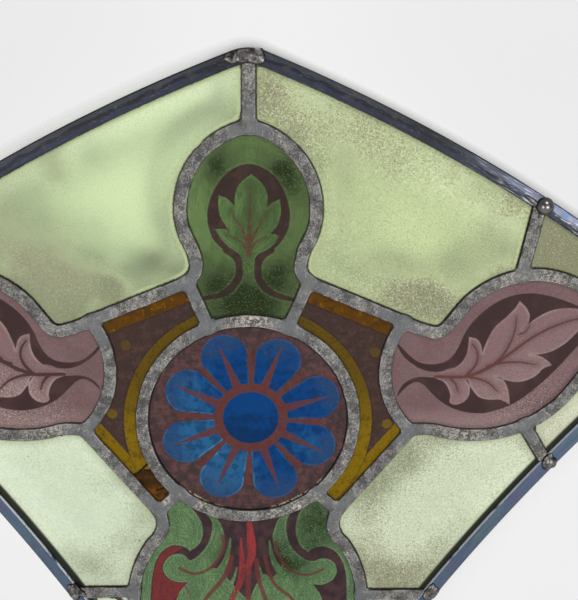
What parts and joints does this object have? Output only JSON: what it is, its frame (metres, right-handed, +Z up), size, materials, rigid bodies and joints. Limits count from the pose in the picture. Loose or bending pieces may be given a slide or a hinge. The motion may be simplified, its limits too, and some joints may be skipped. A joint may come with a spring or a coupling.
{
  "type": "leaded stained glass panel",
  "caption": "Kite-shaped leaded stained-glass tracery panel with a blue painted rosette, painted foliage lobes and pale green fields, held in lead cames.",
  "frame": {"origin": "on the back face of the border lead, in the middle of the rounded top corner", "axes": "+X to the right seen from the front, +Y from the front face to the back, +Z up"},
  "size_m": [0.4246, 0.0104, 0.4523],
  "materials": {
    "old_lead": "weathered lead came, rough grey with a whitish bloom",
    "border_lead": "smooth dark blue-grey lead, worn bright at its edges",
    "solder": "smooth bright solder",
    "rosette_glass": "painted, maroon ground with blue petals",
    "green_glass": "painted green foliage on a dark ground",
    "purple_glass": "painted purple-grey leaves on a maroon ground",
    "amber_glass": "amber glass with a painted maroon ground",
    "pale_glass": "pale green cathedral glass, dusty"
  },
  "bodies": {
    "root": {"glass_rosette": "rosette_glass", "glass_lobe_top": "green_glass", "glass_lobe_bottom": "green_glass", "glass_lobe_left": "purple_glass", "glass_lobe_right": "purple_glass", "glass_amber_left": "amber_glass", "glass_amber_chip": "amber_glass", "glass_amber_right": "amber_glass", "glass_field_upper_left": "pale_glass", "glass_field_upper_right": "pale_glass", "glass_field_lower_left": "pale_glass", "glass_field_lower_right": "pale_glass", "glass_corner_upper_left": "pale_glass", "glass_corner_upper_right": "pale_glass", "glass_corner_lower_left": "pale_glass", "glass_corner_lower_right": "pale_glass", "glass_foot_left": "pale_glass", "glass_foot_right": "pale_glass", "lead_rosette_ring": "old_lead", "lead_top_lobe_left": "old_lead", "lead_top_lobe_right": "old_lead", "lead_side_upper_left": "old_lead", "lead_side_upper_right": "old_lead", "lead_side_lower_left": "old_lead", "lead_side_lower_right": "old_lead", "lead_flank_left": "old_lead", "lead_flank_right": "old_lead", "lead_knee_left": "old_lead", "lead_knee_right": "old_lead", "lead_tie_upper_left": "old_lead", "lead_tie_upper_right": "old_lead", "lead_tie_lower_left": "old_lead", "lead_tie_lower_right": "old_lead", "lead_tie_bottom_left": "old_lead", "lead_tie_bottom_right": "old_lead", "lead_tie_tip_left": "old_lead", "lead_tie_tip_right": "old_lead", "lead_tie_top": "old_lead", "lead_tie_foot": "old_lead", "border_upper": "border_lead", "border_lower_left": "border_lead", "border_lower_right": "border_lead", "solder_upper_left": "solder", "solder_upper_right": "solder", "solder_lower_left": "solder", "solder_lower_right": "solder", "solder_bottom_left": "solder", "solder_bottom_right": "solder", "solder_corner_left": "solder", "solder_corner_right": "solder", "solder_apex": "solder", "solder_foot": "solder"}
  },
  "joints": []
}
